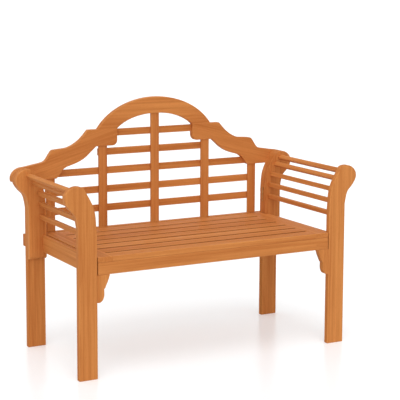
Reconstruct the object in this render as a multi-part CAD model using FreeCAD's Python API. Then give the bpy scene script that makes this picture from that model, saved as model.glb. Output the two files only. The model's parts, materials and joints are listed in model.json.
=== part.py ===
import FreeCAD, Part
import os
from math import sqrt
from FreeCAD import Vector

# Folding garden bench in oiled hardwood: a crested back frame on two rear legs, two side
# frames with scrolled arms on vertical hinges, and a slatted seat hinged on the back rail.
# Millimetres. +X is to the right seen from the front, the front faces -Y, +Z is up.
# The origin lies on the floor, in the middle of the bench's width and depth.

# Overall sizes
leg_span = 1100.0
side_depth = 476.0
seat_top = 431.0
scroll_top = 683.0
crown_top = 925.0
crest_rise = crown_top - scroll_top

# Stock
board_t = 22.0
leg_w = 70.0
snug = 0.1

# Scrolled top of every leg and arm post. Each point is an outward distance and a drop below
# scroll_top: the inner line is measured from the leg's inner edge, the outer from its outer.
scroll_inner = [(0, 200), (0.4, 170), (2.5, 137), (8, 90), (19, 60), (36, 29), (48, 9)]
scroll_outer = [(-10, 2), (7, 0), (29, 7), (43, 20), (49.4, 37), (46.5, 55), (37, 71)]
scroll_neck = [(26, 84), (15, 95), (6, 116), (0, 148)]

# Side frames
post_bottom = 340.0
post_round = 12.0
side_rail_t = 16.0
side_rail_h = 63.0
side_rail_drop = 2.0
arm_slat_t = 14.7
arm_slat_h = 18.2
bracket_w = 48.0
bracket_h = 97.0

# Middle of each arm slat, out from the leg's inner edge and down from scroll_top, and its lean
arm_slat_places = [
    (69.0, 25.5, 39.6), (48.3, 52.1, 37.0), (28.6, 91.4, 13.3), (21.5, 135.0, 4.0), (20.0, 182.3, 0.0),
]

# Back frame. The arch lies between two ellipses, each cut off at a share of its half height.
rail_h = 46.0
rail_top = seat_top - 1.0
block_top = scroll_top + 0.523 * crest_rise
block_h = 65.0
block_bottom = block_top - block_h
block_round = 20.0
wing_bottom = scroll_top - 51.0
step_z = scroll_top + 0.248 * crest_rise
ledge = 39.0
arch_half = leg_span / 4
arch_cheek = 85.0
arch_h = 63.5
outer_cut = 0.447
inner_cut = 0.499
upright_w = 35.0
upright_t = 10.0
upright_setback = 4.0
inner_upright_x = 224.0
outer_upright_gap = 20.5
third_slat_lap = 5.5
back_slat_h = 27.0
back_slat_t = 8.0
back_slat_top = block_top - 2.9
back_slat_pitch = (back_slat_top - rail_top) * 0.1925

# Seat
seat_gap = 3.5
apron_h = 63.0
seat_slat_t = 10.0
seat_slat_gap = 9.0
seat_slats = 6
batten_t = 9.0
batten_w = 42.0
batten_x = 148.0
end_rail_w = 56.5
tail_gap = 8.0
tail_reach = 10.4
tail_round = 5.0

# Tenons, dowels and screws
tenon_l = 10.0
shoulder = 3.0
cheek = 2.0
dowel_r = 4.0
dowel_l = 30.0
dowel_inset = 24.0
screw_head_r = 4.0
screw_r = 2.0
slat_screw_l = 15.0
frame_screw_l = 38.0
batten_screw_l = 15.0
rail_screw_inset = 11.0
wing_screw_inset = 16.0
head_screw_inset = 10.0

# Hinges
knuckle_r = 2.75
pin_r = 1.25
pin_fit = 0.05
knuckle_gap = 0.3
relief = 0.35
leaf_t = 1.2
leaf_w = 25.0
side_hinge_h = 54.0
side_hinge_bottoms = [377.0, 480.0]
seat_hinge_w = 36.0
seat_hinge_drop = 3.0
seat_hinge_out = 5.0
tail_leaf_h = 17.0
rivet_r = 2.2
rivet_h = 1.0
leaf_screw_head_r = 2.8
leaf_screw_r = 1.4
leaf_screw_l = 14.0

# Places worked out from the sizes above
leg_out = leg_span / 2
leg_in = leg_out - leg_w
depth = side_depth + 2 * board_t
y_front = -depth / 2
y_leg = y_front + board_t
y_hinge = y_front + side_depth
y_post = y_hinge - board_t
y_back = y_hinge + board_t
y_rear = depth / 2
seat_half = leg_in - seat_gap
outer_upright_x = leg_in - outer_upright_gap - upright_w / 2
upright_xs = [-outer_upright_x, -inner_upright_x, 0.0, inner_upright_x, outer_upright_x]
y_upright = y_back + upright_setback
y_upright_rear = y_upright + upright_t
y_back_slat = y_upright_rear
y_slat_rear = y_back_slat + back_slat_t
seat_axis_y = y_back - seat_hinge_out
seat_axis_z = seat_top - seat_hinge_drop
tail_end = y_back - tail_gap
panel_bottom = seat_top - seat_slat_t - batten_t
seat_end = tail_end - tail_reach
seat_board_w = (seat_end - y_front - seat_slats * seat_slat_gap) / (seat_slats + 1)
y_slats = y_front + seat_board_w + seat_slat_gap
side_rail_top = seat_top - side_rail_drop

X = Vector(1, 0, 0)
Y = Vector(0, 1, 0)
Z = Vector(0, 0, 1)
ORIGIN = Vector(0, 0, 0)

pieces = {}


def box(x0, x1, y0, y1, z0, z1):
    return Part.makeBox(x1 - x0, y1 - y0, z1 - z0, Vector(x0, y0, z0))


def line(p, q):
    return Part.LineSegment(Vector(p[0], 0, p[1]), Vector(q[0], 0, q[1])).toShape()


def arc(p, q, r):
    return Part.Arc(*[Vector(x, 0, z) for x, z in (p, q, r)]).toShape()


def path(points):
    return [line(p, q) for p, q in zip(points, points[1:])]


def smooth(points, start=None, end=None):
    """Smooth curve in the XZ plane, with a set direction at either end where one is given."""
    flags = [False] * len(points)
    tangents = [Vector(1, 0, 0)] * len(points)
    if start:
        flags[0] = True
        tangents[0] = Vector(start[0], 0, start[1])
    if end:
        flags[-1] = True
        tangents[-1] = Vector(end[0], 0, end[1])
    curve = Part.BSplineCurve()
    curve.interpolate(
        Points=[Vector(x, 0, z) for x, z in points], Tangents=tangents, TangentFlags=flags
    )
    return curve


def board(edges, y0, thickness):
    """Flat board with the given outline, from y0 backwards."""
    face = Part.Face(Part.Wire(Part.__sortEdges__(edges)))
    face.translate(Vector(0, y0, 0))
    return face.extrude(Vector(0, thickness, 0))


def mirrored(shape):
    return shape.mirror(ORIGIN, X)


def both_sides(name, shape):
    pieces[name + "_right"] = shape
    pieces[name + "_left"] = mirrored(shape)


def screw(head, direction, head_r, shank_r, length):
    """Countersunk screw. head is the middle of its flat head, direction is the way it goes in."""
    sink = head_r - shank_r
    cone = Part.makeCone(head_r, shank_r, sink, head, direction)
    shank = Part.makeCylinder(shank_r, length, head, direction)
    return cone.fuse(shank).removeSplitter()


def group(solids):
    return Part.makeCompound(solids)


# Scrolled outline, shared by the legs, the arm posts and the outer ends of the crest

def from_inner(point):
    return (leg_in + point[0], scroll_top - point[1])


def from_outer(point):
    return (leg_out + point[0], scroll_top - point[1])


inner_line = [from_inner(p) for p in scroll_inner]
head_line = [inner_line[-1]] + [from_outer(p) for p in scroll_outer + scroll_neck]
arm_curve = smooth(inner_line, start=(0, 1))
head_curve = smooth(head_line)


def scrolled_board(bottom, y0):
    foot = path([head_line[-1], (leg_out, bottom), (leg_in, bottom), inner_line[0]])
    return board([arm_curve.toShape(), head_curve.toShape()] + foot, y0, board_t)


# Crest wing: a block under the arch's foot, then a stepped curve down to the scrolled end

arch_outer = (arch_half, (crown_top - block_top) / (1 - outer_cut))
arch_inner = (arch_half - arch_cheek, (crown_top - arch_h - block_top) / (1 - inner_cut))
arch_outer_z = crown_top - arch_outer[1]
arch_inner_z = crown_top - arch_h - arch_inner[1]
foot_out = arch_outer[0] * sqrt(1 - outer_cut ** 2)
foot_in = arch_inner[0] * sqrt(1 - inner_cut ** 2)


def crest_wing():
    ledge_end = (foot_out + ledge, block_top)
    drop = block_top - step_z
    slope = [
        ledge_end,
        (ledge_end[0] + 12, block_top - 0.195 * drop),
        (ledge_end[0] + 33, block_top - 0.511 * drop),
        (ledge_end[0] + 59, block_top - 0.782 * drop),
        (leg_in - 111, step_z + 0.06 * drop),
        (leg_in - 77, step_z),
    ]
    step = step_z - scroll_top
    shelf_end = (leg_in - 52, step_z - 2)
    fall = [
        shelf_end,
        (leg_in - 40, step_z - 0.167 * step),
        (leg_in - 29, step_z - 0.433 * step),
        (leg_in - 16, step_z - 0.7 * step),
        (leg_in + 1, step_z - 0.8 * step),
        (leg_in + 31, step_z - 0.883 * step),
        (leg_out - 17, step_z - 0.95 * step),
        (leg_out + 7, scroll_top),
    ]
    lift = block_bottom - wing_bottom
    under = [
        (leg_in - 60, wing_bottom),
        (leg_in - 77, wing_bottom + 0.178 * lift),
        (leg_in - 94, wing_bottom + 0.338 * lift),
        (leg_in - 115, wing_bottom + 0.409 * lift),
        (leg_in - 149, wing_bottom + 0.507 * lift),
        (foot_in + 137, block_bottom - 0.356 * lift),
        (foot_in + 112, block_bottom - 0.178 * lift),
        (foot_in + 89, block_bottom),
    ]
    high = (foot_in, block_bottom + block_round)
    low = (foot_in + block_round, block_bottom)
    bulge = block_round * (1 - sqrt(0.5))
    middle = (foot_in + bulge, block_bottom + bulge)
    outline = [
        smooth(slope, start=(1, -0.9), end=(1, -0.05)).toShape(),
        line(slope[-1], shelf_end),
        smooth(fall, start=(1, -0.1)).toShape(),
        line(fall[-1], (fall[-1][0], wing_bottom)),
        line((fall[-1][0], wing_bottom), under[0]),
        smooth(under).toShape(),
        line(under[-1], low),
        arc(low, middle, high),
        line(high, (foot_in, block_top)),
        line((foot_in, block_top), ledge_end),
    ]
    above = box(leg_in, leg_span, y_back - 1, y_rear + 1, wing_bottom, crown_top)
    scroll_end = scrolled_board(0, y_back).common(above)
    return board(outline, y_back, board_t).fuse(scroll_end).removeSplitter()


# Crest arch, cut square at the feet that stand on the two blocks

def ellipse_board(axes, centre_z, y0, thickness):
    centre = Vector(0, 0, centre_z)
    short, long = sorted([X * axes[0], Z * axes[1]], key=lambda half: half.Length)
    ring = Part.Ellipse(centre + long, centre + short, centre)
    return board([ring.toShape()], y0, thickness)


def crest_arch():
    outer = ellipse_board(arch_outer, arch_outer_z, y_back, board_t)
    inner = ellipse_board(arch_inner, arch_inner_z, y_back - 1, board_t + 2)
    above = box(-leg_out, leg_out, y_back - 1, y_rear + 1, block_top, crown_top + 1)
    return outer.cut(inner).common(above)


wing = crest_wing()
plain_wing = wing.copy()
arch = crest_arch()
rear_leg = scrolled_board(0, y_hinge)
bottom_rail = box(-leg_out, leg_out, y_back, y_rear, rail_top - rail_h, rail_top)


# Uprights of the back, tenoned into the bottom rail and into the crest

def tenon_box(x, z0, z1, clearance):
    half = upright_w / 2 - 2 * shoulder + clearance
    y0 = y_upright + cheek - clearance
    y1 = y_upright_rear - cheek + clearance
    return box(x - half, x + half, y0, y1, z0 - clearance, z1 + clearance)


def upright_top(x):
    if x == 0.0:
        return crown_top - arch_h
    if abs(x) == inner_upright_x:
        return block_bottom
    return wing_bottom


uprights = []
mortises = []
for x in upright_xs:
    top = upright_top(x)
    x0 = x - upright_w / 2
    body = box(x0, x0 + upright_w, y_upright, y_upright_rear, rail_top, top)
    if x == 0.0:
        body = body.cut(arch)
    tenon_z = (rail_top - tenon_l, top + tenon_l)
    uprights.append(body.fuse(tenon_box(x, *tenon_z, 0)).removeSplitter())
    mortises.append(tenon_box(x, *tenon_z, snug))

bottom_rail = bottom_rail.cut(mortises)
arch = arch.cut(mortises)


# Back slats, screwed across the rear of the uprights

slat_halves = [
    foot_in,
    inner_upright_x + upright_w / 2,
    leg_in - outer_upright_gap - upright_w + third_slat_lap,
    outer_upright_x + upright_w / 2,
    outer_upright_x + upright_w / 2,
]
back_slats = []
back_screws = []
slat_mortises = []
for row, half in enumerate(slat_halves):
    z1 = back_slat_top - row * back_slat_pitch
    z0 = z1 - back_slat_h
    slat = box(-half, half, y_back_slat, y_slat_rear, z0, z1)
    if row == 0:
        tongue = (y_back_slat + cheek, y_slat_rear - cheek, z0 + shoulder, z1 - shoulder)
        slat = slat.fuse(box(-half - tenon_l, half + tenon_l, *tongue)).removeSplitter()
        wide = half + tenon_l + snug
        slat_mortises.append(
            box(-wide, wide, tongue[0] - snug, tongue[1] + snug, tongue[2] - snug, tongue[3] + snug)
        )
    for x in upright_xs:
        if abs(x) < half:
            middle = Vector(x, y_slat_rear, (z0 + z1) / 2)
            back_screws.append(screw(middle, -Y, screw_head_r, screw_r, slat_screw_l))
    back_slats.append(slat)

wing = wing.cut(mortises + slat_mortises)
back_slats[2] = back_slats[2].cut([plain_wing, mirrored(plain_wing)])


# Dowels between the arch's feet and the blocks

dowels = []
dowel_holes = []
for side in (-1, 1):
    for x in (foot_in + dowel_inset, foot_out - dowel_inset):
        centre = Vector(side * x, y_back + board_t / 2, block_top - dowel_l / 2)
        dowels.append(Part.makeCylinder(dowel_r, dowel_l, centre, Z))
        dowel_holes.append(
            Part.makeCylinder(dowel_r + pin_fit, dowel_l + 2 * snug, centre - Z * snug, Z)
        )
arch = arch.cut(dowel_holes)
wing = wing.cut(dowel_holes)


# Screws that hold the rail and the wings to the rear legs, driven from behind

leg_mid = (leg_in + leg_out) / 2
head_x = leg_out - head_screw_inset
frame_screws = [
    (leg_mid, rail_top - rail_screw_inset),
    (leg_mid, rail_top - rail_h + rail_screw_inset),
    (head_x, wing_bottom + wing_screw_inset),
    (head_x, scroll_top - wing_screw_inset),
]
for side in (-1, 1):
    for x, z in frame_screws:
        head = Vector(side * x, y_rear, z)
        back_screws.append(screw(head, -Y, screw_head_r, screw_r, frame_screw_l))


# Butt hinge between a rear leg and an arm post. The closed leaves point outwards from the pin.

def side_hinge(bottom):
    thirds = [bottom + side_hinge_h * n / 3 for n in range(4)]
    pin_at = Vector(leg_in, y_hinge, 0)

    def knuckle(z0, z1):
        return Part.makeCylinder(knuckle_r, z1 - z0, pin_at + Z * z0, Z)

    def leaf(y0, own, other):
        x0 = leg_in + pin_r + leaf_t / 2
        plate = box(x0, leg_in + leaf_w, y0, y0 + leaf_t, thirds[0], thirds[3])
        clear = knuckle_r + relief
        for z0, z1 in other:
            plate = plate.cut(box(leg_in, leg_in + clear, y0, y0 + leaf_t, z0, z1))
        rings = [knuckle(z0, z1) for z0, z1 in own]
        bore = Part.makeCylinder(pin_r + pin_fit, side_hinge_h, pin_at + Z * bottom, Z)
        return plate.fuse(rings).cut(bore).removeSplitter()

    half = knuckle_gap / 2
    ends = [(thirds[0], thirds[1] - half), (thirds[2] + half, thirds[3])]
    middle = [(thirds[1] + half, thirds[2] - half)]
    ends_wide = [(thirds[0], thirds[1] + half), (thirds[2] - half, thirds[3])]
    middle_wide = [(thirds[1] - half, thirds[2] + half)]
    back_leaf = leaf(y_hinge, ends, middle_wide)
    post_leaf = leaf(y_hinge - leaf_t, middle, ends_wide)
    pin = Part.makeCylinder(pin_r, side_hinge_h, pin_at + Z * bottom, Z)
    low_rivet = Part.makeCylinder(rivet_r, rivet_h, pin_at + Z * (bottom - rivet_h), Z)
    high_rivet = Part.makeCylinder(rivet_r, rivet_h, pin_at + Z * thirds[3], Z)
    pin = pin.fuse([low_rivet, high_rivet]).removeSplitter()
    y0, y1 = y_hinge - leaf_t, y_hinge + leaf_t
    leaf_recess = box(leg_in, leg_in + leaf_w, y0, y1, thirds[0], thirds[3])
    room = Part.makeCylinder(
        knuckle_r + relief, side_hinge_h + 4 * rivet_h, pin_at + Z * (bottom - 2 * rivet_h), Z
    )
    return back_leaf, post_leaf, pin, leaf_recess.fuse(room)


def leaf_screws(face_y, direction):
    """Two screws in each leaf of the side hinges, with heads flush in the leaf's face."""
    found = []
    for bottom in side_hinge_bottoms:
        for share in (1 / 6, 5 / 6):
            head = Vector(leg_in + leaf_w * 0.6, face_y, bottom + side_hinge_h * share)
            found.append(screw(head, direction, leaf_screw_head_r, leaf_screw_r, leaf_screw_l))
    return found


side_hinges = [side_hinge(bottom) for bottom in side_hinge_bottoms]
hinge_room = [hinge[3] for hinge in side_hinges]
back_leaf_screws = leaf_screws(y_hinge, Y)
post_leaf_screws = leaf_screws(y_hinge, -Y)
back_leaves = [hinge[0].cut(back_leaf_screws) for hinge in side_hinges]
post_leaves = [hinge[1].cut(post_leaf_screws) for hinge in side_hinges]
side_pins = [hinge[2] for hinge in side_hinges]

rear_leg = rear_leg.cut(hinge_room).cut(back_leaf_screws).cut(back_screws)


# Side frame: leg, arm post, side rail, five arm slats and a corner bracket

front_leg = scrolled_board(0, y_front)
arm_post = scrolled_board(post_bottom, y_post)
low_edge = [
    edge for edge in arm_post.Edges
    if abs(edge.BoundBox.ZMax - post_bottom) < 0.01 and abs(edge.BoundBox.YMax - y_post) < 0.01
]
arm_post = arm_post.makeFillet(post_round, low_edge)
arm_post = arm_post.cut(hinge_room).cut(post_leaf_screws)


def leaning_bar(spot, inset, grow):
    """Bar along Y at one place of arm_slat_places, smaller by inset all round and longer by grow."""
    t, h = arm_slat_t / 2 - inset, arm_slat_h / 2 - inset
    bar = box(-t, t, y_leg - grow, y_post + grow, -h, h)
    bar.rotate(ORIGIN, Y, spot[2])
    bar.translate(Vector(leg_in + spot[0], 0, scroll_top - spot[1]))
    return bar


arm_slats = []
for spot in arm_slat_places:
    tenon = leaning_bar(spot, shoulder, tenon_l)
    arm_slats.append(leaning_bar(spot, 0, 0).fuse(tenon).removeSplitter())
    mortise = leaning_bar(spot, shoulder - snug, tenon_l + snug)
    front_leg = front_leg.cut(mortise)
    arm_post = arm_post.cut(mortise)


def side_rail_bar(inset, grow):
    return box(
        leg_in + inset, leg_in + side_rail_t - inset, y_leg - grow, y_post + grow,
        side_rail_top - side_rail_h + 2 * inset, side_rail_top - 2 * inset,
    )


side_rail = side_rail_bar(0, 0).fuse(side_rail_bar(shoulder, tenon_l)).removeSplitter()
rail_mortise = side_rail_bar(shoulder - snug, tenon_l + snug)
front_leg = front_leg.cut(rail_mortise)
arm_post = arm_post.cut(rail_mortise)


def corner_bracket():
    top = seat_top - apron_h
    tip = (leg_in - bracket_w, top)
    cove = [tip, (tip[0] + 6, top - 18), (tip[0] + 14, top - 36), (tip[0] + 19, top - 48)]
    nib = (cove[-1][0] + 3, cove[-1][1])
    foot = (leg_in - 4, top - bracket_h)
    drop = [nib, (nib[0], nib[1] - 15), (nib[0] + 1, nib[1] - 29), (nib[0] + 8, nib[1] - 43), foot]
    outline = [smooth(cove, start=(0.4, -1)).toShape(), line(cove[-1], nib)]
    outline.append(smooth(drop).toShape())
    outline += path([foot, (leg_in, top - bracket_h), (leg_in, top), tip])
    return board(outline, y_front, board_t)


def bracket_tongue(clearance):
    top = seat_top - apron_h
    return box(
        leg_in - tenon_l, leg_in + tenon_l + clearance,
        y_front + 2 * shoulder - clearance, y_leg - 2 * shoulder + clearance,
        top - bracket_h + 4 * shoulder - clearance, top - 4 * shoulder + clearance,
    )


bracket = corner_bracket().fuse(bracket_tongue(0)).removeSplitter()
front_leg = front_leg.cut(bracket_tongue(snug))

both_sides("front_leg", front_leg)
both_sides("arm_post", arm_post)
both_sides("side_rail", side_rail)
both_sides("corner_bracket", bracket)
both_sides("side_hinge_leaves", group(post_leaves))
both_sides("side_hinge_screws", group(post_leaf_screws))
for n, slat in enumerate(arm_slats, start=1):
    pieces["arm_slat_right_%d" % n] = slat
    pieces["arm_slat_left_%d" % n] = mirrored(slat)


# Seat: two flat end rails run front to back, with a front rail and the slats tongued between
# them, two battens screwed up under the slats, and the apron tongued into the front rail's underside

seat_rails = {}
slat_half = seat_half - end_rail_w


def seat_board(y0, bottom):
    """Board across the seat with a tongue at each end, and the socket that takes its tongues."""
    board_top = seat_top - shoulder
    bar = box(-slat_half, slat_half, y0, y0 + seat_board_w, bottom, seat_top)
    reach = slat_half + tenon_l
    y1, y2 = y0 + 2 * shoulder, y0 + seat_board_w - 2 * shoulder
    tongue = box(-reach, reach, y1, y2, bottom + shoulder, board_top)
    reach += snug
    socket = box(-reach, reach, y1 - snug, y2 + snug, bottom + shoulder - snug, board_top + snug)
    return bar.fuse(tongue).removeSplitter(), socket


def end_rail(x0, x1):
    """End rail with its two upright corners rounded at the rear."""
    bar = box(x0, x1, y_front, tail_end, panel_bottom, seat_top)
    corners = [
        edge for edge in bar.Edges
        if abs(edge.BoundBox.YMin - tail_end) < 0.01 and edge.BoundBox.ZLength > 1
    ]
    return bar.makeFillet(tail_round, corners)


def batten_bar(x_mid, inset, drop, grow):
    """Batten under the slats, narrower by inset and thinner by drop, and longer by grow in front."""
    return box(
        x_mid - batten_w / 2 + inset, x_mid + batten_w / 2 - inset,
        y_front + seat_board_w - grow, seat_end,
        panel_bottom + drop, panel_bottom + batten_t - drop,
    )


def apron_tongue(clearance):
    """Tongue along the top of the apron, a third of its thickness."""
    reach = slat_half + end_rail_w / 2 + clearance
    return box(
        -reach, reach,
        y_front + board_t / 3 - clearance, y_leg - board_t / 3 + clearance,
        panel_bottom - clearance, panel_bottom + tenon_l + clearance,
    )


seat_rails["seat_end_rail_right"] = end_rail(slat_half, seat_half)
seat_rails["seat_end_rail_left"] = end_rail(-seat_half, -slat_half)
front_rail, front_socket = seat_board(y_front, panel_bottom)
front_rail = front_rail.cut(apron_tongue(snug))
sockets = [front_socket, apron_tongue(snug)]
for side, x_mid in (("left", -batten_x), ("right", batten_x)):
    bar = batten_bar(x_mid, 0, 0, 0).fuse(batten_bar(x_mid, shoulder, cheek, tenon_l))
    seat_rails["seat_batten_" + side] = bar.removeSplitter()
    front_rail = front_rail.cut(batten_bar(x_mid, shoulder - snug, cheek - snug, tenon_l + snug))

apron = box(-seat_half, seat_half, y_front, y_leg, seat_top - apron_h, panel_bottom)
apron = apron.fuse(apron_tongue(0)).removeSplitter()

seat_slat_pieces = []
seat_screws = []
for n in range(seat_slats):
    y0 = y_slats + n * (seat_board_w + seat_slat_gap)
    slat, socket = seat_board(y0, seat_top - seat_slat_t)
    sockets.append(socket)
    for x in (-batten_x, batten_x):
        for share in (0.25, 0.75):
            head = Vector(x, y0 + share * seat_board_w, panel_bottom)
            seat_screws.append(screw(head, Z, screw_head_r, screw_r, batten_screw_l))
    seat_slat_pieces.append(slat)

for side in ("left", "right"):
    seat_rails["seat_end_rail_" + side] = seat_rails["seat_end_rail_" + side].cut(sockets)
    seat_rails["seat_batten_" + side] = seat_rails["seat_batten_" + side].cut(seat_screws)


# Seat hinges: one leaf let into the front of the back rail, the other into the end of an end
# rail, with the knuckles just under the top of the seat

def seat_hinge(x_mid):
    x0 = x_mid - seat_hinge_w / 2
    thirds = [x0 + seat_hinge_w * n / 3 for n in range(4)]
    axis = Vector(0, seat_axis_y, seat_axis_z)
    half = knuckle_gap / 2
    ends = [(thirds[0], thirds[1] - half), (thirds[2] + half, thirds[3])]
    middle = (thirds[1] + half, thirds[2] - half)
    bore = Part.makeCylinder(pin_r + pin_fit, seat_hinge_w, axis + X * x0, X)
    link_z = seat_axis_z - knuckle_r
    rail_z = (link_z + leaf_t - leaf_w, link_z + leaf_t)
    rail_plate = box(thirds[0], thirds[3], y_back, y_back + leaf_t, *rail_z)
    rail_leaf = rail_plate
    for a, b in ends:
        ring = Part.makeCylinder(knuckle_r, b - a, axis + X * a, X)
        link = box(a, b, seat_axis_y, y_back + leaf_t, link_z, link_z + leaf_t)
        rail_leaf = rail_leaf.fuse([ring, link])
    rail_leaf = rail_leaf.cut(bore).removeSplitter()
    y_plate = tail_end - leaf_t
    tail_plate = box(thirds[0], thirds[3], y_plate, tail_end, seat_top - tail_leaf_h, seat_top)
    strap_z = seat_axis_z + knuckle_r
    strap = box(middle[0], middle[1], y_plate, seat_axis_y, strap_z - leaf_t, strap_z)
    ring = Part.makeCylinder(knuckle_r, middle[1] - middle[0], axis + X * middle[0], X)
    tail_leaf = tail_plate.fuse([strap, ring]).cut(bore).removeSplitter()
    pin = Part.makeCylinder(pin_r, seat_hinge_w, axis + X * x0, X)
    left_rivet = Part.makeCylinder(rivet_r, rivet_h, axis + X * (x0 - rivet_h), X)
    right_rivet = Part.makeCylinder(rivet_r, rivet_h, axis + X * thirds[3], X)
    pin = pin.fuse([left_rivet, right_rivet]).removeSplitter()
    rail_screws = []
    tail_screws = []
    for x in (thirds[0] + seat_hinge_w / 6, thirds[3] - seat_hinge_w / 6):
        rail_head = Vector(x, y_back, link_z + leaf_t - leaf_w * 0.6)
        rail_screws.append(screw(rail_head, Y, leaf_screw_head_r, leaf_screw_r, leaf_screw_l))
        tail_head = Vector(x, tail_end, seat_top - tail_leaf_h * 0.6)
        tail_screws.append(screw(tail_head, -Y, leaf_screw_head_r, leaf_screw_r, leaf_screw_l))
    return rail_leaf, tail_leaf, pin, rail_plate, tail_plate, rail_screws, tail_screws


end_x = slat_half + end_rail_w / 2
seat_hinges = [seat_hinge(x) for x in (-end_x, end_x)]
rail_screws = [one for hinge in seat_hinges for one in hinge[5]]
tail_screws = [one for hinge in seat_hinges for one in hinge[6]]
rail_leaves = [hinge[0].cut(rail_screws) for hinge in seat_hinges]
tail_leaves = [hinge[1].cut(tail_screws) for hinge in seat_hinges]
seat_pins = [hinge[2] for hinge in seat_hinges]
bottom_rail = bottom_rail.cut([hinge[3] for hinge in seat_hinges]).cut(rail_screws).cut(back_screws)
for name in seat_rails:
    pieces[name] = seat_rails[name].cut([hinge[4] for hinge in seat_hinges]).cut(tail_screws)

pieces["seat_front_apron"] = apron
pieces["seat_front_rail"] = front_rail
for n, slat in enumerate(seat_slat_pieces, start=1):
    pieces["seat_slat_%d" % n] = slat.cut(seat_screws)
pieces["seat_slat_screws"] = group(seat_screws)
pieces["seat_hinge_leaves"] = group(tail_leaves)
pieces["seat_hinge_screws"] = group(tail_screws)


# Back frame

both_sides("rear_leg", rear_leg)
both_sides("crest_wing", wing.cut(back_screws))
pieces["crest_arch"] = arch
pieces["crest_dowels"] = group(dowels)
pieces["back_bottom_rail"] = bottom_rail
for n, upright in enumerate(uprights, start=1):
    pieces["back_upright_%d" % n] = upright.cut(back_screws)
for n, slat in enumerate(back_slats, start=1):
    pieces["back_slat_%d" % n] = slat.cut(back_screws)
pieces["back_screws"] = group(back_screws)
pieces["seat_hinge_back_leaves"] = group(rail_leaves)
pieces["seat_hinge_pins"] = group(seat_pins)
pieces["side_hinge_back_leaves"] = group(back_leaves + [mirrored(leaf) for leaf in back_leaves])
pieces["side_hinge_pins"] = group(side_pins + [mirrored(pin) for pin in side_pins])
left_leaf_screws = [mirrored(one) for one in back_leaf_screws]
pieces["back_hinge_screws"] = group(rail_screws + back_leaf_screws + left_leaf_screws)


# One file for each piece, or for each set of like fasteners

os.makedirs("parts", exist_ok=True)
whole = FreeCAD.BoundBox()
for name, shape in sorted(pieces.items()):
    shape.exportStep("parts/" + name + ".step")
    whole.add(shape.BoundBox)
    print("%-26s %2d solids %10.0f mm3 valid %s" % (name, len(shape.Solids), shape.Volume, shape.isValid()))
print(len(pieces), "nodes, box", whole)
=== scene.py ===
import json
from math import pi, radians
from random import Random

import bmesh
import bpy
from mathutils import Euler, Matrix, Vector
from mathutils.bvhtree import BVHTree

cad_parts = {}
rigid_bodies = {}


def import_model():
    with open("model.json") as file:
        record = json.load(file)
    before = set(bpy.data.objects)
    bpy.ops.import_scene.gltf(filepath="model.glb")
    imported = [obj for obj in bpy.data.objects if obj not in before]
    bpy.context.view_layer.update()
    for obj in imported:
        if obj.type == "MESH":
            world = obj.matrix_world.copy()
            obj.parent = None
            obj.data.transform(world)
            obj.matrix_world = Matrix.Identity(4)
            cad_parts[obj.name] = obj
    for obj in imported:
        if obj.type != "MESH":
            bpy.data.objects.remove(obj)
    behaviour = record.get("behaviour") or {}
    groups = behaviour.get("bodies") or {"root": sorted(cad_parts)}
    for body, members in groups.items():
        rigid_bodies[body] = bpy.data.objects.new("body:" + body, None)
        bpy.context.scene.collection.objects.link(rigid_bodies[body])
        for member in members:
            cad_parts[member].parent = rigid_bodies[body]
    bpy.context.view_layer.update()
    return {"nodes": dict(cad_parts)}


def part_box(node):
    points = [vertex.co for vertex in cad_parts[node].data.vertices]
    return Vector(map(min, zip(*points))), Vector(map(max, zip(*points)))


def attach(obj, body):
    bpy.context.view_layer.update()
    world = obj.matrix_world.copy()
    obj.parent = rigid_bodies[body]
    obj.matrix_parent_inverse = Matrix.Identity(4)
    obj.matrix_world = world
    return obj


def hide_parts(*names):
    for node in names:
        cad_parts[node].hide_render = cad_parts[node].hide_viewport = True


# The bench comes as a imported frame: a fixed back, a seat that lifts and two side frames.
# Everything else in this file dresses those pieces, in the order the bench is put together.

for left_over in list(bpy.data.objects):
    bpy.data.objects.remove(left_over)
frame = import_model()


# Rear legs: upright boards of oiled hardwood, band-sawn to a scroll at the top, with their
# edges eased by hand. They carry the bottom rail and the crest, screwed on from behind.

PALE_WOOD = (0.690, 0.270, 0.074, 1)
DEEP_WOOD = (0.430, 0.118, 0.024, 1)
WORN_WOOD = (0.80, 0.36, 0.12, 1)
# Painted shade: this near-black brown and its share darken the sides of the seat slats that face
# across the gaps, standing in for the shade inside those gaps.
GAP_SHADE_COLOUR = (0.080, 0.022, 0.007, 1)
GAP_SHADE_SHARE = 0.8
SHEEN = 0.08
GRAIN_DEPTH = 0.0004
LEG_ARRIS = 0.0025
ALONG_X = (0.0, 0.0, 0.0)
ALONG_Y = (0.0, 0.0, radians(-90))
ALONG_Z = (0.0, radians(90), 0.0)
plank_pile = Random(11)


def place(tree, kind, **settings):
    """A node of that kind in a node tree, with the given settings."""
    made = tree.nodes.new(kind)
    for name, value in settings.items():
        setattr(made, name, value)
    return made


def feed(tree, target, value):
    """Gives an input socket a value, or the output socket that drives it."""
    if isinstance(value, bpy.types.NodeSocket):
        tree.links.new(value, target)
    else:
        target.default_value = value


def sum_up(tree, operation, first, second=0.0, third=0.0, clamp=False):
    """A Math node on up to three values."""
    made = place(tree, "ShaderNodeMath", operation=operation, use_clamp=clamp)
    for target, value in zip(made.inputs, (first, second, third)):
        feed(tree, target, value)
    return made.outputs[0]


def stretch(tree, vector, factors):
    """The vector with each axis multiplied, so that a noise on it runs long or short."""
    made = place(tree, "ShaderNodeVectorMath", operation="MULTIPLY")
    feed(tree, made.inputs[0], vector)
    made.inputs[1].default_value = factors
    return made.outputs[0]


def cloud(tree, vector, detail, roughness=0.5, output="Fac"):
    """Noise at one cell for each unit of the vector."""
    made = place(tree, "ShaderNodeTexNoise")
    feed(tree, made.inputs["Vector"], vector)
    made.inputs["Scale"].default_value = 1.0
    made.inputs["Detail"].default_value = detail
    made.inputs["Roughness"].default_value = roughness
    return made.outputs[output]


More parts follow.
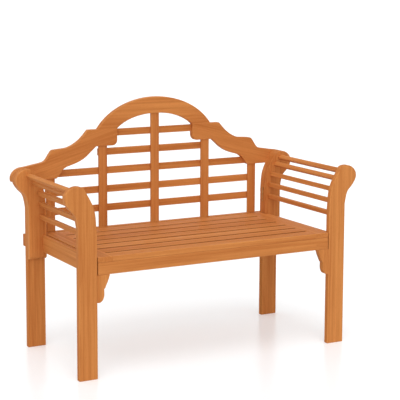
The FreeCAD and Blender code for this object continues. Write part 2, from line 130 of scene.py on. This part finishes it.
def spread(tree, value, low, high):
    """The value with low..high stretched to 0..1 and held there."""
    made = place(tree, "ShaderNodeMapRange", clamp=True)
    for name, given in (("Value", value), ("From Min", low), ("From Max", high)):
        feed(tree, made.inputs[name], given)
    return made.outputs["Result"]


def tint(tree, share, first, second):
    """Two colours mixed by a share."""
    made = place(tree, "ShaderNodeMix", data_type="RGBA")
    for count, value in ((0, share), (6, first), (7, second)):
        feed(tree, made.inputs[count], value)
    return made.outputs[2]


def effect(name, inputs, outputs):
    """An empty shader group with named inputs and outputs."""
    group = bpy.data.node_groups.new(name, "ShaderNodeTree")
    for label, kind in inputs:
        group.interface.new_socket(label, in_out="INPUT", socket_type="NodeSocket" + kind)
    for label, kind in outputs:
        group.interface.new_socket(label, in_out="OUTPUT", socket_type="NodeSocket" + kind)
    return group, place(group, "NodeGroupInput").outputs, place(group, "NodeGroupOutput").inputs


# The figure of the timber: growth rings about a pith that lies beside the board, brown
# streaks along it, fine fibre and short open pores. X runs along the grain, in metres, and
# each kind of mark has its own number of cells in a metre of length, width and thickness.

RING_PITCH = 0.0075
WANDER_CELLS = (1.7, 7, 7)
WANDER_REACH = (0, 0.03, 0.03)
STREAK_CELLS = (2.0, 90, 90)
SLOW_CELLS = (1.2, 9, 9)
FIBRE_CELLS = (16, 800, 800)
PORE_CELLS = (70, 1500, 1500)

timber_figure, given, result = effect(
    "timber_figure",
    [
        ("Place", "Vector"), ("Facing", "Vector"), ("Pale", "Color"), ("Deep", "Color"),
        ("Tone", "Float"), ("Arris", "Float"), ("Painted Shade", "Float"),
    ],
    [("Colour", "Color"), ("Roughness", "Float"), ("Height", "Float")],
)


def marks(cells, detail, roughness=0.5, output="Fac"):
    """Noise in the board with that many cells in a metre each way."""
    drawn_out = stretch(timber_figure, given["Place"], cells)
    return cloud(timber_figure, drawn_out, detail, roughness, output)


wander_mid = place(timber_figure, "ShaderNodeVectorMath", operation="SUBTRACT")
feed(timber_figure, wander_mid.inputs[0], marks(WANDER_CELLS, detail=1, output="Color"))
wander_mid.inputs[1].default_value = (0.5, 0.5, 0.5)
wandered = place(timber_figure, "ShaderNodeVectorMath", operation="ADD")
feed(timber_figure, wandered.inputs[0], given["Place"])
feed(timber_figure, wandered.inputs[1], stretch(timber_figure, wander_mid.outputs[0], WANDER_REACH))
from_pith = place(timber_figure, "ShaderNodeVectorMath", operation="LENGTH")
feed(timber_figure, from_pith.inputs[0], stretch(timber_figure, wandered.outputs[0], (0, 1, 1)))
rings_out = sum_up(timber_figure, "DIVIDE", from_pith.outputs["Value"], RING_PITCH)
late_wood = sum_up(timber_figure, "POWER", sum_up(timber_figure, "FRACT", rings_out), 2.5)
streak = spread(timber_figure, marks(STREAK_CELLS, detail=4, roughness=0.6), low=0.3, high=0.7)
slow = spread(timber_figure, marks(SLOW_CELLS, detail=1), low=0.3, high=0.7)
fibre = marks(FIBRE_CELLS, detail=2)
pore = spread(timber_figure, marks(PORE_CELLS, detail=0), low=0.64, high=0.74)
pale_share = sum_up(timber_figure, "MULTIPLY_ADD", streak, 0.62, 0.02)
pale_share = sum_up(timber_figure, "MULTIPLY_ADD", slow, 0.30, pale_share)
pale_share = sum_up(timber_figure, "MULTIPLY_ADD", fibre, 0.30, pale_share)
pale_share = sum_up(timber_figure, "MULTIPLY_ADD", late_wood, -0.14, pale_share)
pale_share = sum_up(timber_figure, "MULTIPLY_ADD", given["Tone"], 0.2, pale_share, clamp=True)
wood = tint(timber_figure, pale_share, given["Deep"], given["Pale"])
facing_parts = place(timber_figure, "ShaderNodeSeparateXYZ")
feed(timber_figure, facing_parts.inputs[0], given["Facing"])
across_grain = sum_up(timber_figure, "ABSOLUTE", facing_parts.outputs[0])
end_grain = spread(timber_figure, across_grain, low=0.72, high=0.95)
darker = sum_up(timber_figure, "MULTIPLY", end_grain, 0.22)
darker = sum_up(timber_figure, "MULTIPLY_ADD", pore, 0.30, darker)
wood = tint(timber_figure, darker, wood, given["Deep"])
worn_share = sum_up(timber_figure, "MULTIPLY_ADD", streak, 0.18, 0.04)
rubbed = sum_up(timber_figure, "MULTIPLY", given["Arris"], worn_share)
wood = tint(timber_figure, rubbed, wood, WORN_WOOD)
# Painted shade: where the gap-side input is set, the colour is mixed towards a near-black brown,
# standing in for the shade inside the gaps between boards.
feed(timber_figure, result["Colour"], tint(timber_figure, given["Painted Shade"], wood, GAP_SHADE_COLOUR))
satin = sum_up(timber_figure, "MULTIPLY_ADD", streak, -0.08, 0.60)
satin = sum_up(timber_figure, "MULTIPLY_ADD", end_grain, 0.12, satin)
satin = sum_up(timber_figure, "MULTIPLY_ADD", given["Arris"], -0.05, satin)
feed(timber_figure, result["Roughness"], sum_up(timber_figure, "MULTIPLY_ADD", pore, 0.12, satin))
relief = sum_up(timber_figure, "MULTIPLY", late_wood, 0.25)
relief = sum_up(timber_figure, "MULTIPLY_ADD", fibre, 0.5, relief)
feed(timber_figure, result["Height"], sum_up(timber_figure, "MULTIPLY_ADD", pore, -0.8, relief))


def oiled_timber(name, middle, lie, tone):
    """Oiled hardwood for one board, whose length lie turns to X. Each comes from its own plank."""
    finish = bpy.data.materials.new("oiled_" + name)
    finish.use_nodes = True
    tree = finish.node_tree
    surface = tree.nodes["Principled BSDF"]
    sawn_from = Vector(
        (plank_pile.uniform(-3, 3), plank_pile.uniform(0.05, 0.16), plank_pile.uniform(-0.09, 0.09))
    )
    turned_middle = Vector(middle)
    turned_middle.rotate(Euler(lie))
    seen = place(tree, "ShaderNodeTexCoord")
    along = place(tree, "ShaderNodeMapping")
    along.inputs["Rotation"].default_value = lie
    along.inputs["Location"].default_value = sawn_from - turned_middle
    feed(tree, along.inputs["Vector"], seen.outputs["Object"])
    facing = place(tree, "ShaderNodeMapping", vector_type="NORMAL")
    facing.inputs["Rotation"].default_value = lie
    feed(tree, facing.inputs["Vector"], seen.outputs["Normal"])
    arris = place(tree, "ShaderNodeAttribute", attribute_name="eased_arris")
    # This attribute carries the painted shade for the slat sides that face the gaps.
    shade_painted = place(tree, "ShaderNodeAttribute", attribute_name="painted_gap_shade")
    figure = place(tree, "ShaderNodeGroup", node_tree=timber_figure)
    feed(tree, figure.inputs["Place"], along.outputs[0])
    feed(tree, figure.inputs["Facing"], facing.outputs[0])
    feed(tree, figure.inputs["Arris"], arris.outputs["Fac"])
    feed(tree, figure.inputs["Painted Shade"], shade_painted.outputs["Fac"])
    figure.inputs["Pale"].default_value = PALE_WOOD
    figure.inputs["Deep"].default_value = DEEP_WOOD
    figure.inputs["Tone"].default_value = tone + plank_pile.uniform(-0.35, 0.35)
    grain = place(tree, "ShaderNodeBump")
    grain.inputs["Strength"].default_value = 0.35
    grain.inputs["Distance"].default_value = GRAIN_DEPTH
    feed(tree, grain.inputs["Height"], figure.outputs["Height"])
    feed(tree, surface.inputs["Base Color"], figure.outputs["Colour"])
    feed(tree, surface.inputs["Roughness"], figure.outputs["Roughness"])
    feed(tree, surface.inputs["Normal"], grain.outputs[0])
    surface.inputs["Specular IOR Level"].default_value = SHEEN
    return finish


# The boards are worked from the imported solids. Their arrises are bevelled, but for the rims
# of mortises and grooves and for the corners where two boards meet. Lengths are in metres.

WELD = 2e-6
IN_PLANE = radians(0.05)
NEAR = 0.0005
MORTISE_SPAN = 0.025
FACING_WALL = -0.95
RAY_INSET = 0.0003
RAY_LIFT = 0.00005
SHARP_CORNER = radians(50)
ROOM_FOR_ARRIS = 2.2
SHORTEST_ARRIS = 0.045
SMOOTH_BEND = radians(42)
SAWN_BEND = radians(25)
SAME_CORNER = 0.00001
FLAT_FACE = 0.5
HINGE_STRIP = 0.012
SCROLL_START = 0.05


def beside_a_hole(edge, near_faces):
    """Whether a face at the edge looks across a mortise or groove at the wall that faces it."""
    middle = (edge.verts[0].co + edge.verts[1].co) / 2
    run = (edge.verts[1].co - edge.verts[0].co).normalized()
    for loop in edge.link_loops:
        way = run if loop.vert == edge.verts[0] else -run
        inward = loop.face.normal.cross(way)
        start = middle + inward * RAY_INSET + loop.face.normal * RAY_LIFT
        spot, wall = near_faces.ray_cast(start, loop.face.normal, MORTISE_SPAN)[:2]
        if spot and wall.dot(loop.face.normal) < FACING_WALL:
            return True
    return False


def arrises(board, arris, kept):
    """The long outer corners of a board, without holes, mortises and housings."""
    near_faces = BVHTree.FromBMesh(board)
    found = set()
    for edge in board.edges:
        if len(edge.link_faces) != 2 or not edge.is_convex or kept(edge):
            continue
        room = min(face.calc_area() for face in edge.link_faces) / edge.calc_length()
        if edge.calc_face_angle() < SHARP_CORNER or room < ROOM_FOR_ARRIS * arris:
            continue
        if not beside_a_hole(edge, near_faces):
            found.add(edge)
    chosen = set()
    while found:
        chain = [found.pop()]
        for edge in chain:
            linked = {near for end in edge.verts for near in end.link_edges if near in found}
            found -= linked
            chain.extend(linked)
        ends = [end.co for edge in chain for end in edge.verts]
        reach = [max(co[axis] for co in ends) - min(co[axis] for co in ends) for axis in range(3)]
        if max(reach) > SHORTEST_ARRIS:
            chosen.update(chain)
    return [edge for edge in board.edges if edge in chosen]


def nowhere(part):
    """No edge and no face."""
    return False


def true_sides(board, beyond):
    """Makes the sawn edge, beyond that distance from the middle, one facet wide all along."""
    inner = []
    for vert in board.verts:
        smooth = all(edge.calc_face_angle(pi) < SAWN_BEND for edge in vert.link_edges)
        if smooth and abs(vert.co.x) > beyond:
            inner.append(vert)
    bmesh.ops.dissolve_verts(board, verts=inner)
    corners = list(board.verts)
    for count, one in enumerate(corners):
        for other in corners[count + 1:]:
            if max(abs(one.co.x - other.co.x), abs(one.co.z - other.co.z)) > SAME_CORNER:
                continue
            joined = any(edge.other_vert(one) == other for edge in one.link_edges)
            shared = [face for face in one.link_faces if face in other.link_faces]
            if shared and not joined and abs(shared[0].normal.y) < FLAT_FACE:
                bmesh.utils.face_split(shared[0], one, other)


hinge_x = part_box("arm_post_right")[0].x
hinge_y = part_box("arm_post_right")[1].y
scroll_x = hinge_x + SCROLL_START


def at_hinge(edge):
    """The corner along the side hinges, which stays square because the two boards meet there."""
    ends = [end.co for end in edge.verts]
    return all(abs(co.y - hinge_y) < NEAR and abs(co.x) < hinge_x + HINGE_STRIP for co in ends)


def work_board(name, body, lie, arris, tone=0.0, kept=nowhere, shade_painted=nowhere, sawn=None):
    """One board with eased arrises and its grain along its length.

    kept names the edges that stay square, and shade_painted the faces that get painted shade for
    the shade in the gaps between boards. sawn is where, counted from the middle, the edge of a
    board sawn to a curve is made true.
    """
    board = bmesh.new()
    board.from_mesh(frame["nodes"][name].data)
    bmesh.ops.remove_doubles(board, verts=board.verts, dist=WELD)
    bmesh.ops.dissolve_limit(
        board, angle_limit=IN_PLANE, verts=board.verts[:], edges=board.edges[:]
    )
    if sawn is not None:
        true_sides(board, sawn)
    eased = board.faces.layers.float.new("eased_arris")
    rounded = bmesh.ops.bevel(
        board, geom=arrises(board, arris, kept), offset=arris, offset_type="OFFSET", segments=3,
        profile=0.5, affect="EDGES", clamp_overlap=False, loop_slide=False,
    )
    for face in rounded["faces"]:
        face[eased] = 1.0
    # Painted shade: the faces picked out by the face test get a share of near-black brown for the
    # shade in the gaps between boards.
    dark = board.faces.layers.float.new("painted_gap_shade")
    for face in board.faces:
        face[dark] = GAP_SHADE_SHARE if shade_painted(face) else 0.0
        face.smooth = True
    mesh = bpy.data.meshes.new(name + "_board")
    board.to_mesh(mesh)
    board.free()
    mesh.set_sharp_from_angle(angle=SMOOTH_BEND)
    low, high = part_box(name)
    mesh.materials.append(oiled_timber(name, (low + high) / 2, lie, tone))
    piece = bpy.data.objects.new(name + "_board", mesh)
    bpy.context.scene.collection.objects.link(piece)
    flats = piece.modifiers.new("flat faces stay flat", "WEIGHTED_NORMAL")
    flats.keep_sharp = True
    flats.weight = 100
    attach(piece, body)
    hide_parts(name)


for side, tone in (("left", -0.15), ("right", 0.25)):
    work_board(
        "rear_leg_" + side, "back_frame", ALONG_Z, arris=LEG_ARRIS, tone=tone,
        kept=at_hinge, sawn=scroll_x,
    )


# Bottom rail: a hardwood bar across the rear of both legs. Its top takes the tenons of the
# uprights and its front face the two seat hinges.

work_board("back_bottom_rail", "back_frame", ALONG_X, arris=0.002, tone=-0.4)


# Crest wings: a block under each foot of the arch that runs out in a stepped curve to the
# scroll, sawn from one wide board with the grain down the slope, and screwed to the leg.

CREST_ARRIS = 0.0022
WING_SLOPE = radians(15)
block_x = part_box("crest_wing_right")[0].x
block_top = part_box("crest_wing_right")[1].z
slat_rear_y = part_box("back_slat_1")[1].y


def at_joint(edge):
    """The lines where the arch's foot and the top slat meet the block, planed and not eased."""
    ends = [end.co for end in edge.verts]
    at_arch = all(abs(co.z - block_top) < NEAR for co in ends)
    at_slat = all(abs(abs(co.x) - block_x) < NEAR and co.y > slat_rear_y - NEAR for co in ends)
    return at_arch or at_slat


for side, slope, tone in (("left", WING_SLOPE, 0.3), ("right", -WING_SLOPE, -0.15)):
    work_board(
        "crest_wing_" + side, "back_frame", (0, slope, 0), arris=CREST_ARRIS, tone=tone,
        kept=at_joint,
    )


# Crest arch: the top board of the back, sawn to two ellipses with its grain level, doweled
# down on the blocks. The four dowels are beech, glued in.

work_board("crest_arch", "back_frame", ALONG_X, arris=CREST_ARRIS, tone=0.1, kept=at_joint)
dowel_finish = oiled_timber("dowels", (0, 0, 0), ALONG_Z, tone=0.8)
frame["nodes"]["crest_dowels"].data.materials[0] = dowel_finish


# Uprights: five flat hardwood strips between the bottom rail and the crest, tenoned at both
# ends.

for count in range(1, 6):
    work_board("back_upright_%d" % count, "back_frame", ALONG_Z, arris=0.0016, tone=-0.25)


# Back slats: five thin strips across the rear of the uprights. The top one is let into the
# blocks and the third is cut short against the wings.

SLAT_ARRIS = 0.0014
CUT_END = 0.02


def sawn_end(edge):
    """The ends of the third slat, sawn to the curve of the wings."""
    return abs(edge.verts[0].co.x - edge.verts[1].co.x) < CUT_END


for count in range(1, 6):
    work_board(
        "back_slat_%d" % count, "back_frame", ALONG_X, arris=SLAT_ARRIS, tone=-0.35,
        kept=sawn_end if count == 3 else nowhere,
    )


# Seat panel: a flat rail along the front with an apron tongued in below it, an end rail at
# each side and two battens under the six slats, which are tongued in and screwed from below.

FACES_A_GAP = 0.8
end_rail_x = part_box("seat_end_rail_right")[0].x


def in_end_rail(edge):
    """The tongues at the ends of a seat board, which fill their sockets."""
    return all(abs(end.co.x) > end_rail_x + NEAR for end in edge.verts)


def in_a_gap(face):
    """The narrow sides of the seat slats, facing across the gaps, which get painted shade."""
    return abs(face.normal.y) > FACES_A_GAP


work_board("seat_front_apron", "seat", ALONG_X, arris=0.003, tone=0.2)
work_board("seat_front_rail", "seat", ALONG_X, arris=0.0018, tone=0.15, kept=in_end_rail)
for side in ("left", "right"):
    work_board("seat_end_rail_" + side, "seat", ALONG_Y, arris=0.002)
    work_board("seat_batten_" + side, "seat", ALONG_Y, arris=0.0015, tone=-0.3)
for count in range(1, 7):
    # The slat sides that face the gaps get painted shade.
    work_board(
        "seat_slat_%d" % count, "seat", ALONG_X, arris=SLAT_ARRIS, tone=0.05,
        kept=in_end_rail, shade_painted=in_a_gap,
    )


# Side frames: a scrolled front leg and a short scrolled post, joined by the side rail and
# five arm slats, with a sawn bracket under the apron. Each frame folds in on its hinges.

for side in ("left", "right"):
    side_frame = side + "_side_frame"
    work_board("front_leg_" + side, side_frame, ALONG_Z, arris=LEG_ARRIS, tone=0.25, sawn=0.0)
    work_board(
        "arm_post_" + side, side_frame, ALONG_Z, arris=LEG_ARRIS, tone=-0.2,
        kept=at_hinge, sawn=scroll_x,
    )
    work_board("side_rail_" + side, side_frame, ALONG_Y, arris=0.002, tone=0.2)
    work_board("corner_bracket_" + side, side_frame, ALONG_Z, arris=0.002, tone=0.1)
    for count in range(1, 6):
        work_board("arm_slat_%s_%d" % (side, count), side_frame, ALONG_Y, arris=0.0028)


# Hinges: brass leaves with rolled knuckles on brass pins, let in flush. The metal is brushed
# along the leaf and has gone brown in cloudy patches.

BLOOM_CELLS = (60, 60, 60)
BRUSH_CELLS = (3500, 3500, 90)

plating, given, result = effect(
    "dulled_metal",
    [("Place", "Vector"), ("Bright", "Color"), ("Dull", "Color")],
    [("Colour", "Color"), ("Roughness", "Float"), ("Height", "Float")],
)
patches = stretch(plating, given["Place"], BLOOM_CELLS)
bloom = spread(plating, cloud(plating, patches, detail=4, roughness=0.65), low=0.35, high=0.7)
brushing = cloud(plating, stretch(plating, given["Place"], BRUSH_CELLS), detail=2)
feed(plating, result["Colour"], tint(plating, bloom, given["Bright"], given["Dull"]))
feed(plating, result["Roughness"], sum_up(plating, "MULTIPLY_ADD", bloom, 0.2, 0.28))
feed(plating, result["Height"], brushing)


def dulled(name, bright, dull):
    """Brushed metal that has gone from the bright colour to the dull one in patches."""
    finish = bpy.data.materials.new(name)
    finish.use_nodes = True
    tree = finish.node_tree
    surface = tree.nodes["Principled BSDF"]
    seen = place(tree, "ShaderNodeTexCoord")
    coat = place(tree, "ShaderNodeGroup", node_tree=plating)
    feed(tree, coat.inputs["Place"], seen.outputs["Object"])
    coat.inputs["Bright"].default_value = bright
    coat.inputs["Dull"].default_value = dull
    brushed = place(tree, "ShaderNodeBump")
    brushed.inputs["Strength"].default_value = 0.15
    brushed.inputs["Distance"].default_value = 0.0001
    feed(tree, brushed.inputs["Height"], coat.outputs["Height"])
    feed(tree, surface.inputs["Base Color"], coat.outputs["Colour"])
    feed(tree, surface.inputs["Roughness"], coat.outputs["Roughness"])
    feed(tree, surface.inputs["Normal"], brushed.outputs[0])
    surface.inputs["Metallic"].default_value = 1.0
    return finish


hinge_brass = dulled("hinge_brass", bright=(0.58, 0.33, 0.12, 1), dull=(0.36, 0.18, 0.065, 1))
for name in (
    "seat_hinge_leaves", "seat_hinge_back_leaves", "side_hinge_back_leaves",
    "side_hinge_leaves_left", "side_hinge_leaves_right", "seat_hinge_pins", "side_hinge_pins",
):
    frame["nodes"][name].data.materials[0] = hinge_brass


# Wood screws: countersunk, driven flush, with a tapering cross recess in each head. Those of
# the boards are zinc-plated steel, and those of the hinges brass like the leaves.

HEAD_IN_PLANE = radians(0.6)
SCREW_BEND = radians(30)
CROSS_TOP = (0.62, 0.14)
CROSS_FLOOR = (0.34, 0.09)
CROSS_DEPTH = 0.4
CORNERS = 12
screw_zinc = dulled("screw_zinc", bright=(0.66, 0.65, 0.62, 1), dull=(0.40, 0.39, 0.37, 1))


def cross_ring(metal, centre, along, aside, radius, arms):
    """New corners of a cross about centre, in order. arms holds an arm's reach and half width."""
    reach, half_width = (share * radius for share in arms)
    corners = []
    for turn in range(4):
        along, aside = aside, -along
        corners.append(metal.verts.new(centre + along * reach - aside * half_width))
        corners.append(metal.verts.new(centre + along * reach + aside * half_width))
        corners.append(metal.verts.new(centre + along * half_width + aside * half_width))
    return corners


def wood_screws(name, body, metal_finish):
    """The node's screws, each with a cross recess in its head."""
    metal = bmesh.new()
    metal.from_mesh(frame["nodes"][name].data)
    bmesh.ops.remove_doubles(metal, verts=metal.verts, dist=WELD)
    bmesh.ops.dissolve_limit(
        metal, angle_limit=HEAD_IN_PLANE, verts=metal.verts[:], edges=metal.edges[:]
    )
    waiting = set(metal.faces)
    heads = []
    for first in metal.faces:
        if first not in waiting:
            continue
        waiting.remove(first)
        one_screw = [first]
        for face in one_screw:
            linked = {near for edge in face.edges for near in edge.link_faces if near in waiting}
            waiting -= linked
            one_screw.extend(linked)
        heads.append(max(one_screw, key=lambda face: face.calc_area()))
    for head in heads:
        centre = sum((end.co for end in head.verts), Vector()) / len(head.verts)
        out = head.normal.copy()
        radius = (head.verts[0].co - centre).length
        along = (head.verts[0].co - centre).normalized()
        aside = out.cross(along)
        upper = cross_ring(metal, centre, along, aside, radius, CROSS_TOP)
        low_centre = centre - out * CROSS_DEPTH * radius
        lower = cross_ring(metal, low_centre, along, aside, radius, CROSS_FLOOR)
        lips = [metal.edges.new((upper[n], upper[n - 1])) for n in range(CORNERS)]
        for n in range(CORNERS):
            metal.faces.new((upper[n - 1], upper[n], lower[n], lower[n - 1]))
        metal.faces.new(lower)
        rim = list(head.edges)
        bmesh.ops.delete(metal, geom=[head], context="FACES_ONLY")
        bmesh.ops.triangle_fill(metal, use_beauty=True, use_dissolve=False, edges=rim + lips)
    bmesh.ops.recalc_face_normals(metal, faces=metal.faces)
    for face in metal.faces:
        face.smooth = True
    mesh = bpy.data.meshes.new(name + "_crossed")
    metal.to_mesh(mesh)
    metal.free()
    mesh.set_sharp_from_angle(angle=SCREW_BEND)
    mesh.materials.append(metal_finish)
    piece = bpy.data.objects.new(name + "_crossed", mesh)
    bpy.context.scene.collection.objects.link(piece)
    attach(piece, body)
    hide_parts(name)


wood_screws("back_screws", "back_frame", screw_zinc)
wood_screws("seat_slat_screws", "seat", screw_zinc)
wood_screws("back_hinge_screws", "back_frame", hinge_brass)
wood_screws("seat_hinge_screws", "seat", hinge_brass)
for side in ("left", "right"):
    wood_screws("side_hinge_screws_" + side, side + "_side_frame", hinge_brass)


# Floor, light and camera: a seamless pale floor under an even white sky, one soft distant
# light from above and one from the front left, and the camera of the reference view.

FLOOR_HALF = 300.0
FLOOR_COLOUR = (0.835, 0.86, 0.875, 1)
FLOOR_LIFT = 0.265
SKY_LIGHT = 0.66


def is_backdrop(tree):
    """One for rays that show the backdrop, straight or in a reflection, and nought for light."""
    ray = place(tree, "ShaderNodeLightPath")
    straight = sum_up(tree, "MAXIMUM", ray.outputs["Is Camera Ray"], ray.outputs["Is Glossy Ray"])
    return sum_up(tree, "MAXIMUM", straight, ray.outputs["Is Transmission Ray"])


floor_mesh = bpy.data.meshes.new("studio_floor")
floor_corners = [(-1, -1, 0), (1, -1, 0), (1, 1, 0), (-1, 1, 0)]
floor_corners = [Vector(corner) * FLOOR_HALF for corner in floor_corners]
floor_mesh.from_pydata(floor_corners, [], [(0, 1, 2, 3)])
floor = bpy.data.objects.new("studio_floor", floor_mesh)
bpy.context.scene.collection.objects.link(floor)
floor_paint = bpy.data.materials.new("pale_floor")
floor_paint.use_nodes = True
tree = floor_paint.node_tree
surface = tree.nodes["Principled BSDF"]
surface.inputs["Base Color"].default_value = FLOOR_COLOUR
surface.inputs["Roughness"].default_value = 0.25
surface.inputs["Specular IOR Level"].default_value = 0.25
lift = place(tree, "ShaderNodeEmission")
feed(tree, lift.inputs["Strength"], sum_up(tree, "MULTIPLY", is_backdrop(tree), FLOOR_LIFT))
both = place(tree, "ShaderNodeAddShader")
feed(tree, both.inputs[0], surface.outputs[0])
feed(tree, both.inputs[1], lift.outputs[0])
feed(tree, tree.nodes["Material Output"].inputs["Surface"], both.outputs[0])
floor_mesh.materials.append(floor_paint)

sky = bpy.data.worlds.new("studio_sky")
bpy.context.scene.world = sky
sky.use_nodes = True
tree = sky.node_tree
seen_sky = sum_up(tree, "MULTIPLY_ADD", is_backdrop(tree), 1.0 - SKY_LIGHT, SKY_LIGHT)
feed(tree, tree.nodes["Background"].inputs["Strength"], seen_sky)
tree.nodes["Background"].inputs["Color"].default_value = (1, 1, 1, 1)


def soft_light(name, source, spread_angle, share):
    """A wide, distant light that adds share of a plain level where it falls straight on."""
    light = bpy.data.lights.new(name, "SUN")
    light.angle = spread_angle
    light.energy = share * pi
    holder = bpy.data.objects.new(name, light)
    holder.location = source
    holder.rotation_euler = (-Vector(source)).to_track_quat("-Z", "Y").to_euler()
    bpy.context.scene.collection.objects.link(holder)


soft_light("key_light", (-0.8, -1.2, 3.8), spread_angle=radians(38), share=0.26)
soft_light("front_light", (-2.6, -5.0, 1.6), spread_angle=radians(60), share=0.30)

camera = bpy.data.cameras.new("camera")
camera.sensor_width = 36.0
camera.lens = 116.70
camera.shift_x = 0.0918
camera.shift_y = -0.12
camera.clip_end = 1000.0
view_point = bpy.data.objects.new("camera", camera)
view_point.location = (-2.2899, -4.2342, 1.3882)
view_point.rotation_euler = (radians(82.286), 0, radians(-27.456))
bpy.context.scene.collection.objects.link(view_point)
bpy.context.scene.camera = view_point
bpy.context.scene.view_settings.view_transform = "Standard"
